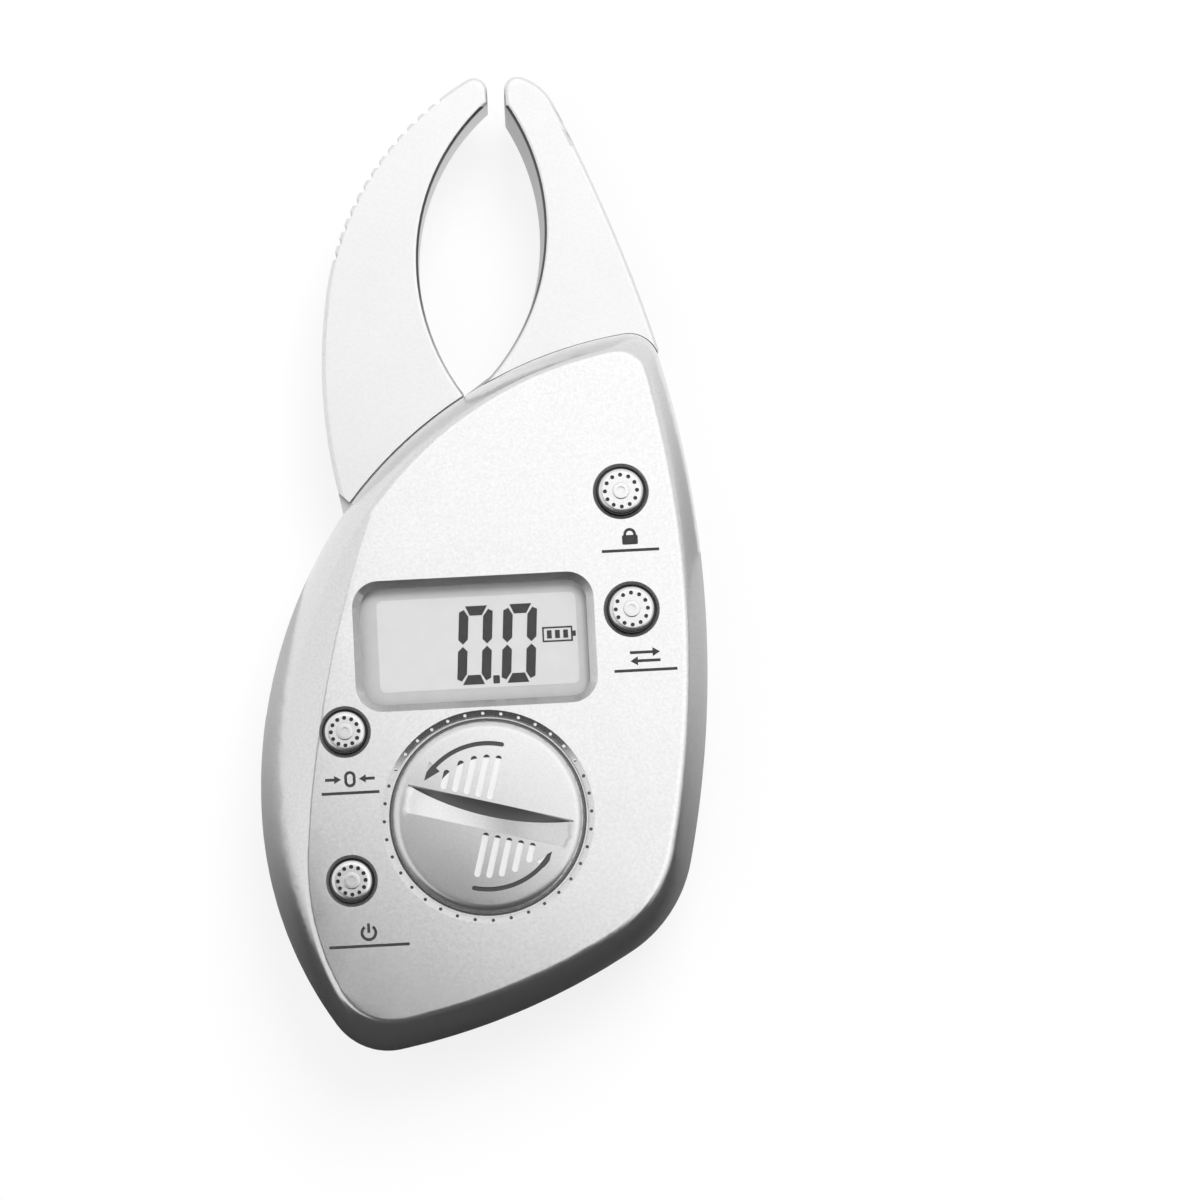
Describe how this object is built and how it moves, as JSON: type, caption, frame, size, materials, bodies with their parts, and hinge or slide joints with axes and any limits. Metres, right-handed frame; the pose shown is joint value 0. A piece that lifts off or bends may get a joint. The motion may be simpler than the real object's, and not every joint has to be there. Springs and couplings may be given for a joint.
{
  "type": "skinfold caliper",
  "caption": "Handheld digital skinfold caliper: flat silver casing with a display, push buttons and round battery cover, one fixed jaw and one sprung pivoting jaw.",
  "frame": {"origin": "where the jaw's pivot axis meets the flat back of the casing", "axes": "+Z out of the display face, +Y towards the jaw tips, +X to the right as the display is read"},
  "size_m": [0.0674, 0.1444, 0.0249],
  "materials": {
    "silver_case": "satin silver paint on moulded plastic",
    "jaw_silver": "satin silver paint on moulded plastic",
    "button_silver": "satin silver paint on moulded plastic",
    "cap_silver": "satin silver paint on moulded plastic",
    "clear_window": "clear polished plate",
    "lcd": "grey green liquid crystal panel",
    "frame_white": "moulded",
    "strip_rubber": "striped conductive rubber",
    "steel": "ground",
    "spring_steel": "drawn wire",
    "bush_plastic": "moulded acetal",
    "board_green": "solder resist",
    "resin_black": "cured resin",
    "switch_black": "moulded",
    "rotor_copper": "etched copper on thin laminate",
    "contact_metal": "nickel plated",
    "cell_steel": "nickel plated",
    "screw_steel": "zinc plated"
  },
  "bodies": {
    "case": {"front_cover": "silver_case", "back_cover": "silver_case", "fixed_jaw": "jaw_silver", "display_window": "clear_window", "lcd_panel": "lcd", "lcd_frame": "frame_white", "zebra_strips": "strip_rubber", "pivot_pin": "steel", "thrust_washer": "steel", "retaining_clip": "spring_steel", "torsion_spring": "spring_steel", "circuit_board": "board_green", "chip_cover": "resin_black", "switches": "switch_black", "coin_cell": "cell_steel", "negative_contact": "contact_metal", "positive_contact": "contact_metal", "case_screws": "screw_steel", "board_screws": "screw_steel"},
    "jaw": {"moving_jaw": "jaw_silver", "pivot_bush": "bush_plastic", "rotor_disc": "rotor_copper"},
    "battery_cover": {"battery_cover": "cap_silver"},
    "hold_button": {"hold_button": "button_silver"},
    "power_button": {"power_button": "button_silver"},
    "unit_button": {"unit_button": "button_silver"},
    "zero_button": {"zero_button": "button_silver"}
  },
  "joints": [
    {"name": "jaw_hinge", "type": "hinge", "parent": "case", "child": "jaw", "pos_m": [0, 0, 0.0115], "axis": [0, 0, 1], "range_deg": [0, 34], "stiffness_Nm_per_rad": 0.2, "springref_deg": -34.38, "deforming": ["torsion_spring"]},
    {"name": "hold_button_press", "type": "slide", "parent": "case", "child": "hold_button", "axis": [0, 0, -1], "range_m": [0, 0.00035], "stiffness_N_per_m": 500, "springref_m": -0.0006},
    {"name": "unit_button_press", "type": "slide", "parent": "case", "child": "unit_button", "axis": [0, 0, -1], "range_m": [0, 0.00035], "stiffness_N_per_m": 500, "springref_m": -0.0006},
    {"name": "zero_button_press", "type": "slide", "parent": "case", "child": "zero_button", "axis": [0, 0, -1], "range_m": [0, 0.00035], "stiffness_N_per_m": 500, "springref_m": -0.0006},
    {"name": "power_button_press", "type": "slide", "parent": "case", "child": "power_button", "axis": [0, 0, -1], "range_m": [0, 0.00035], "stiffness_N_per_m": 500, "springref_m": -0.0006},
    {"name": "battery_cover_turn", "type": "hinge", "parent": "case", "child": "battery_cover", "pos_m": [0, 0, 0.0226], "axis": [0, 0, 1], "range_deg": [0, 45]}
  ]
}
